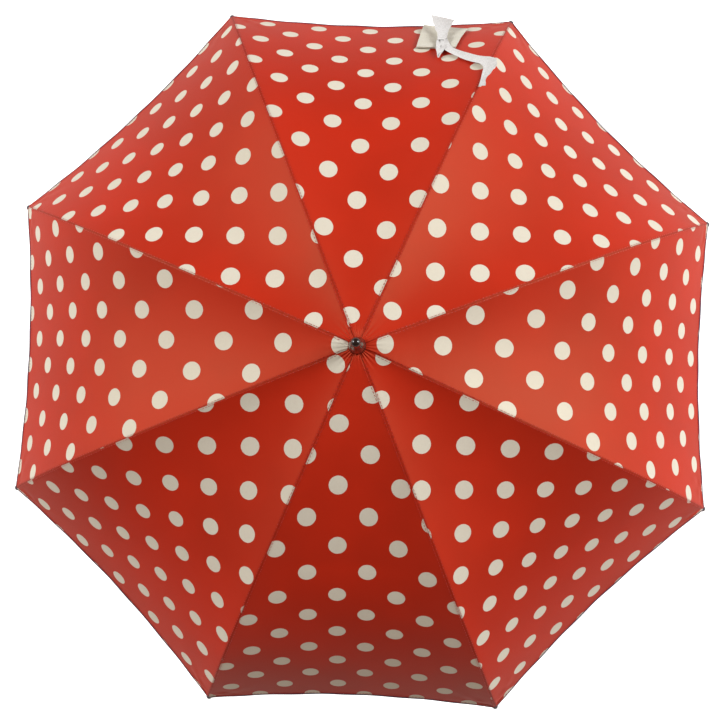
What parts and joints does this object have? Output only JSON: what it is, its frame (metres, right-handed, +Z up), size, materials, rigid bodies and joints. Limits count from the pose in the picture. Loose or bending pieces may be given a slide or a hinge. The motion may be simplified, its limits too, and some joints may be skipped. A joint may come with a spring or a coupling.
{
  "type": "umbrella",
  "caption": "Child's stick umbrella, open, with a deep red dotted canopy, sliding runner, folding ribs and a curved handle.",
  "frame": {"origin": "on the shaft's axis, in the middle of the hand grip", "axes": "+Z up the shaft towards the ferrule, +X the way the handle's crook reaches"},
  "size_m": [0.695, 0.695, 0.6347],
  "materials": {
    "dotted_cloth": "plain-woven polyester, red with cream dots, slight sheen",
    "edge_tape": "woven binding tape, dark navy",
    "strap_cloth": "plain-woven cream tape",
    "ribbon_satin": "thin white satin ribbon",
    "ferrule_plastic": "moulded, dark brown, glossy",
    "tip_plastic": "moulded, dark, glossy",
    "handle_plastic": "moulded, dark brown, glossy",
    "black_plastic": "moulded nylon",
    "chrome_tube": "bright plated steel tube",
    "rib_steel": "zinc-plated pressed steel",
    "steel_wire": "drawn wire and spring strip",
    "glass_fibre": "black glass-fibre rod"
  },
  "bodies": {
    "stick": {"shaft": "chrome_tube", "crown": "black_plastic", "crown_wire": "steel_wire", "ferrule": "ferrule_plastic", "handle": "handle_plastic"},
    "runner": {"runner": "black_plastic"},
    "top_catch": {"top_catch": "steel_wire"},
    "bottom_catch": {"bottom_catch": "steel_wire"},
    "arm_1": {"rib_1": "rib_steel"},
    "outer_1": {"rod_1": "glass_fibre", "tip_1": "tip_plastic"},
    "cloth_1": {"gore_1": "dotted_cloth"},
    "hem_1": {"hem_tape_1": "edge_tape"},
    "strut_1": {"stretcher_1": "rib_steel"},
    "arm_2": {"rib_2": "rib_steel"},
    "outer_2": {"rod_2": "glass_fibre", "tip_2": "tip_plastic"},
    "cloth_2": {"gore_2": "dotted_cloth"},
    "hem_2": {"hem_tape_2": "edge_tape"},
    "strut_2": {"stretcher_2": "rib_steel"},
    "arm_3": {"rib_3": "rib_steel"},
    "outer_3": {"rod_3": "glass_fibre", "tip_3": "tip_plastic"},
    "cloth_3": {"gore_3": "dotted_cloth"},
    "hem_3": {"hem_tape_3": "edge_tape", "tie_strap": "strap_cloth", "ribbon": "ribbon_satin"},
    "strut_3": {"stretcher_3": "rib_steel"},
    "arm_4": {"rib_4": "rib_steel"},
    "outer_4": {"rod_4": "glass_fibre", "tip_4": "tip_plastic"},
    "cloth_4": {"gore_4": "dotted_cloth"},
    "hem_4": {"hem_tape_4": "edge_tape"},
    "strut_4": {"stretcher_4": "rib_steel"},
    "arm_5": {"rib_5": "rib_steel"},
    "outer_5": {"rod_5": "glass_fibre", "tip_5": "tip_plastic"},
    "cloth_5": {"gore_5": "dotted_cloth"},
    "hem_5": {"hem_tape_5": "edge_tape"},
    "strut_5": {"stretcher_5": "rib_steel"},
    "arm_6": {"rib_6": "rib_steel"},
    "outer_6": {"rod_6": "glass_fibre", "tip_6": "tip_plastic"},
    "cloth_6": {"gore_6": "dotted_cloth"},
    "hem_6": {"hem_tape_6": "edge_tape"},
    "strut_6": {"stretcher_6": "rib_steel"},
    "arm_7": {"rib_7": "rib_steel"},
    "outer_7": {"rod_7": "glass_fibre", "tip_7": "tip_plastic"},
    "cloth_7": {"gore_7": "dotted_cloth"},
    "hem_7": {"hem_tape_7": "edge_tape"},
    "strut_7": {"stretcher_7": "rib_steel"},
    "arm_8": {"rib_8": "rib_steel"},
    "outer_8": {"rod_8": "glass_fibre", "tip_8": "tip_plastic"},
    "cloth_8": {"gore_8": "dotted_cloth"},
    "hem_8": {"hem_tape_8": "edge_tape"},
    "strut_8": {"stretcher_8": "rib_steel"}
  },
  "joints": [
    {"name": "runner_slide", "type": "slide", "parent": "stick", "child": "runner", "axis": [0, 0, 1], "range_m": [-0.28499, 0]},
    {"name": "top_catch_press", "type": "slide", "parent": "stick", "child": "top_catch", "axis": [1, 0, 0], "range_m": [-0.0018, 0], "stiffness_N_per_m": 600, "springref_m": 0.0005},
    {"name": "bottom_catch_press", "type": "slide", "parent": "stick", "child": "bottom_catch", "axis": [1, 0, 0], "range_m": [-0.0018, 0], "stiffness_N_per_m": 600, "springref_m": 0.0005},
    {"name": "rib_fold_1", "type": "hinge", "parent": "stick", "child": "arm_1", "pos_m": [0.00924, 0.00383, 0.504], "axis": [-0.3827, 0.9239, 0], "range_deg": [0, 71.07]},
    {"name": "rod_flex_1", "type": "hinge", "parent": "arm_1", "child": "outer_1", "pos_m": [0.18727, 0.07757, 0.45236], "axis": [-0.3827, 0.9239, 0], "range_deg": [-19, 0]},
    {"name": "cloth_fold_1", "type": "hinge", "parent": "stick", "child": "cloth_1", "pos_m": [0.00924, 0, 0.504], "axis": [0, 1, 0], "range_deg": [0, 65.5], "deforming": ["gore_1"]},
    {"name": "hem_flex_1", "type": "hinge", "parent": "cloth_1", "child": "hem_1", "pos_m": [0.18821, 0, 0.45487], "axis": [0, 1, 0], "range_deg": [-15.5, 0], "deforming": ["hem_tape_1"]},
    {"name": "strut_fold_1", "type": "hinge", "parent": "arm_1", "child": "strut_1", "pos_m": [0.18554, 0.07686, 0.44773], "axis": [-0.3827, 0.9239, 0], "range_deg": [-142.14, 0]},
    {"name": "rib_fold_2", "type": "hinge", "parent": "stick", "child": "arm_2", "pos_m": [0.00383, 0.00924, 0.504], "axis": [-0.9239, 0.3827, 0], "range_deg": [0, 71.07]},
    {"name": "rod_flex_2", "type": "hinge", "parent": "arm_2", "child": "outer_2", "pos_m": [0.07757, 0.18727, 0.45236], "axis": [-0.9239, 0.3827, 0], "range_deg": [-19, 0]},
    {"name": "cloth_fold_2", "type": "hinge", "parent": "stick", "child": "cloth_2", "pos_m": [0.00653, 0.00653, 0.504], "axis": [-0.7071, 0.7071, 0], "range_deg": [0, 65.5], "deforming": ["gore_2"]},
    {"name": "hem_flex_2", "type": "hinge", "parent": "cloth_2", "child": "hem_2", "pos_m": [0.13308, 0.13308, 0.45487], "axis": [-0.7071, 0.7071, 0], "range_deg": [-15.5, 0], "deforming": ["hem_tape_2"]},
    {"name": "strut_fold_2", "type": "hinge", "parent": "arm_2", "child": "strut_2", "pos_m": [0.07686, 0.18554, 0.44773], "axis": [-0.9239, 0.3827, 0], "range_deg": [-142.14, 0]},
    {"name": "rib_fold_3", "type": "hinge", "parent": "stick", "child": "arm_3", "pos_m": [-0.00383, 0.00924, 0.504], "axis": [-0.9239, -0.3827, 0], "range_deg": [0, 71.07]},
    {"name": "rod_flex_3", "type": "hinge", "parent": "arm_3", "child": "outer_3", "pos_m": [-0.07757, 0.18727, 0.45236], "axis": [-0.9239, -0.3827, 0], "range_deg": [-19, 0]},
    {"name": "cloth_fold_3", "type": "hinge", "parent": "stick", "child": "cloth_3", "pos_m": [0, 0.00924, 0.504], "axis": [-1, 0, 0], "range_deg": [0, 65.5], "deforming": ["gore_3"]},
    {"name": "hem_flex_3", "type": "hinge", "parent": "cloth_3", "child": "hem_3", "pos_m": [0, 0.18821, 0.45487], "axis": [-1, 0, 0], "range_deg": [-15.5, 0], "deforming": ["hem_tape_3", "tie_strap", "ribbon"]},
    {"name": "strut_fold_3", "type": "hinge", "parent": "arm_3", "child": "strut_3", "pos_m": [-0.07686, 0.18554, 0.44773], "axis": [-0.9239, -0.3827, 0], "range_deg": [-142.14, 0]},
    {"name": "rib_fold_4", "type": "hinge", "parent": "stick", "child": "arm_4", "pos_m": [-0.00924, 0.00383, 0.504], "axis": [-0.3827, -0.9239, 0], "range_deg": [0, 71.07]},
    {"name": "rod_flex_4", "type": "hinge", "parent": "arm_4", "child": "outer_4", "pos_m": [-0.18727, 0.07757, 0.45236], "axis": [-0.3827, -0.9239, 0], "range_deg": [-19, 0]},
    {"name": "cloth_fold_4", "type": "hinge", "parent": "stick", "child": "cloth_4", "pos_m": [-0.00653, 0.00653, 0.504], "axis": [-0.7071, -0.7071, 0], "range_deg": [0, 65.5], "deforming": ["gore_4"]},
    {"name": "hem_flex_4", "type": "hinge", "parent": "cloth_4", "child": "hem_4", "pos_m": [-0.13308, 0.13308, 0.45487], "axis": [-0.7071, -0.7071, 0], "range_deg": [-15.5, 0], "deforming": ["hem_tape_4"]},
    {"name": "strut_fold_4", "type": "hinge", "parent": "arm_4", "child": "strut_4", "pos_m": [-0.18554, 0.07686, 0.44773], "axis": [-0.3827, -0.9239, 0], "range_deg": [-142.14, 0]},
    {"name": "rib_fold_5", "type": "hinge", "parent": "stick", "child": "arm_5", "pos_m": [-0.00924, -0.00383, 0.504], "axis": [0.3827, -0.9239, 0], "range_deg": [0, 71.07]},
    {"name": "rod_flex_5", "type": "hinge", "parent": "arm_5", "child": "outer_5", "pos_m": [-0.18727, -0.07757, 0.45236], "axis": [0.3827, -0.9239, 0], "range_deg": [-19, 0]},
    {"name": "cloth_fold_5", "type": "hinge", "parent": "stick", "child": "cloth_5", "pos_m": [-0.00924, 0, 0.504], "axis": [0, -1, 0], "range_deg": [0, 65.5], "deforming": ["gore_5"]},
    {"name": "hem_flex_5", "type": "hinge", "parent": "cloth_5", "child": "hem_5", "pos_m": [-0.18821, 0, 0.45487], "axis": [0, -1, 0], "range_deg": [-15.5, 0], "deforming": ["hem_tape_5"]},
    {"name": "strut_fold_5", "type": "hinge", "parent": "arm_5", "child": "strut_5", "pos_m": [-0.18554, -0.07686, 0.44773], "axis": [0.3827, -0.9239, 0], "range_deg": [-142.14, 0]},
    {"name": "rib_fold_6", "type": "hinge", "parent": "stick", "child": "arm_6", "pos_m": [-0.00383, -0.00924, 0.504], "axis": [0.9239, -0.3827, 0], "range_deg": [0, 71.07]},
    {"name": "rod_flex_6", "type": "hinge", "parent": "arm_6", "child": "outer_6", "pos_m": [-0.07757, -0.18727, 0.45236], "axis": [0.9239, -0.3827, 0], "range_deg": [-19, 0]},
    {"name": "cloth_fold_6", "type": "hinge", "parent": "stick", "child": "cloth_6", "pos_m": [-0.00653, -0.00653, 0.504], "axis": [0.7071, -0.7071, 0], "range_deg": [0, 65.5], "deforming": ["gore_6"]},
    {"name": "hem_flex_6", "type": "hinge", "parent": "cloth_6", "child": "hem_6", "pos_m": [-0.13308, -0.13308, 0.45487], "axis": [0.7071, -0.7071, 0], "range_deg": [-15.5, 0], "deforming": ["hem_tape_6"]},
    {"name": "strut_fold_6", "type": "hinge", "parent": "arm_6", "child": "strut_6", "pos_m": [-0.07686, -0.18554, 0.44773], "axis": [0.9239, -0.3827, 0], "range_deg": [-142.14, 0]},
    {"name": "rib_fold_7", "type": "hinge", "parent": "stick", "child": "arm_7", "pos_m": [0.00383, -0.00924, 0.504], "axis": [0.9239, 0.3827, 0], "range_deg": [0, 71.07]},
    {"name": "rod_flex_7", "type": "hinge", "parent": "arm_7", "child": "outer_7", "pos_m": [0.07757, -0.18727, 0.45236], "axis": [0.9239, 0.3827, 0], "range_deg": [-19, 0]},
    {"name": "cloth_fold_7", "type": "hinge", "parent": "stick", "child": "cloth_7", "pos_m": [0, -0.00924, 0.504], "axis": [1, 0, 0], "range_deg": [0, 65.5], "deforming": ["gore_7"]},
    {"name": "hem_flex_7", "type": "hinge", "parent": "cloth_7", "child": "hem_7", "pos_m": [0, -0.18821, 0.45487], "axis": [1, 0, 0], "range_deg": [-15.5, 0], "deforming": ["hem_tape_7"]},
    {"name": "strut_fold_7", "type": "hinge", "parent": "arm_7", "child": "strut_7", "pos_m": [0.07686, -0.18554, 0.44773], "axis": [0.9239, 0.3827, 0], "range_deg": [-142.14, 0]},
    {"name": "rib_fold_8", "type": "hinge", "parent": "stick", "child": "arm_8", "pos_m": [0.00924, -0.00383, 0.504], "axis": [0.3827, 0.9239, 0], "range_deg": [0, 71.07]},
    {"name": "rod_flex_8", "type": "hinge", "parent": "arm_8", "child": "outer_8", "pos_m": [0.18727, -0.07757, 0.45236], "axis": [0.3827, 0.9239, 0], "range_deg": [-19, 0]},
    {"name": "cloth_fold_8", "type": "hinge", "parent": "stick", "child": "cloth_8", "pos_m": [0.00653, -0.00653, 0.504], "axis": [0.7071, 0.7071, 0], "range_deg": [0, 65.5], "deforming": ["gore_8"]},
    {"name": "hem_flex_8", "type": "hinge", "parent": "cloth_8", "child": "hem_8", "pos_m": [0.13308, -0.13308, 0.45487], "axis": [0.7071, 0.7071, 0], "range_deg": [-15.5, 0], "deforming": ["hem_tape_8"]},
    {"name": "strut_fold_8", "type": "hinge", "parent": "arm_8", "child": "strut_8", "pos_m": [0.18554, -0.07686, 0.44773], "axis": [0.3827, 0.9239, 0], "range_deg": [-142.14, 0]}
  ],
  "couplings": [
    {"joint": "rib_fold_1", "follows": "runner_slide", "rad_per_m": -4.3525},
    {"joint": "rod_flex_1", "follows": "runner_slide", "rad_per_m": 1.1636},
    {"joint": "cloth_fold_1", "follows": "runner_slide", "rad_per_m": -4.0113},
    {"joint": "hem_flex_1", "follows": "runner_slide", "rad_per_m": 0.94925},
    {"joint": "strut_fold_1", "follows": "runner_slide", "rad_per_m": 8.705},
    {"joint": "rib_fold_2", "follows": "runner_slide", "rad_per_m": -4.3525},
    {"joint": "rod_flex_2", "follows": "runner_slide", "rad_per_m": 1.1636},
    {"joint": "cloth_fold_2", "follows": "runner_slide", "rad_per_m": -4.0113},
    {"joint": "hem_flex_2", "follows": "runner_slide", "rad_per_m": 0.94925},
    {"joint": "strut_fold_2", "follows": "runner_slide", "rad_per_m": 8.705},
    {"joint": "rib_fold_3", "follows": "runner_slide", "rad_per_m": -4.3525},
    {"joint": "rod_flex_3", "follows": "runner_slide", "rad_per_m": 1.1636},
    {"joint": "cloth_fold_3", "follows": "runner_slide", "rad_per_m": -4.0113},
    {"joint": "hem_flex_3", "follows": "runner_slide", "rad_per_m": 0.94925},
    {"joint": "strut_fold_3", "follows": "runner_slide", "rad_per_m": 8.705},
    {"joint": "rib_fold_4", "follows": "runner_slide", "rad_per_m": -4.3525},
    {"joint": "rod_flex_4", "follows": "runner_slide", "rad_per_m": 1.1636},
    {"joint": "cloth_fold_4", "follows": "runner_slide", "rad_per_m": -4.0113},
    {"joint": "hem_flex_4", "follows": "runner_slide", "rad_per_m": 0.94925},
    {"joint": "strut_fold_4", "follows": "runner_slide", "rad_per_m": 8.705},
    {"joint": "rib_fold_5", "follows": "runner_slide", "rad_per_m": -4.3525},
    {"joint": "rod_flex_5", "follows": "runner_slide", "rad_per_m": 1.1636},
    {"joint": "cloth_fold_5", "follows": "runner_slide", "rad_per_m": -4.0113},
    {"joint": "hem_flex_5", "follows": "runner_slide", "rad_per_m": 0.94925},
    {"joint": "strut_fold_5", "follows": "runner_slide", "rad_per_m": 8.705},
    {"joint": "rib_fold_6", "follows": "runner_slide", "rad_per_m": -4.3525},
    {"joint": "rod_flex_6", "follows": "runner_slide", "rad_per_m": 1.1636},
    {"joint": "cloth_fold_6", "follows": "runner_slide", "rad_per_m": -4.0113},
    {"joint": "hem_flex_6", "follows": "runner_slide", "rad_per_m": 0.94925},
    {"joint": "strut_fold_6", "follows": "runner_slide", "rad_per_m": 8.705},
    {"joint": "rib_fold_7", "follows": "runner_slide", "rad_per_m": -4.3525},
    {"joint": "rod_flex_7", "follows": "runner_slide", "rad_per_m": 1.1636},
    {"joint": "cloth_fold_7", "follows": "runner_slide", "rad_per_m": -4.0113},
    {"joint": "hem_flex_7", "follows": "runner_slide", "rad_per_m": 0.94925},
    {"joint": "strut_fold_7", "follows": "runner_slide", "rad_per_m": 8.705},
    {"joint": "rib_fold_8", "follows": "runner_slide", "rad_per_m": -4.3525},
    {"joint": "rod_flex_8", "follows": "runner_slide", "rad_per_m": 1.1636},
    {"joint": "cloth_fold_8", "follows": "runner_slide", "rad_per_m": -4.0113},
    {"joint": "hem_flex_8", "follows": "runner_slide", "rad_per_m": 0.94925},
    {"joint": "strut_fold_8", "follows": "runner_slide", "rad_per_m": 8.705}
  ]
}
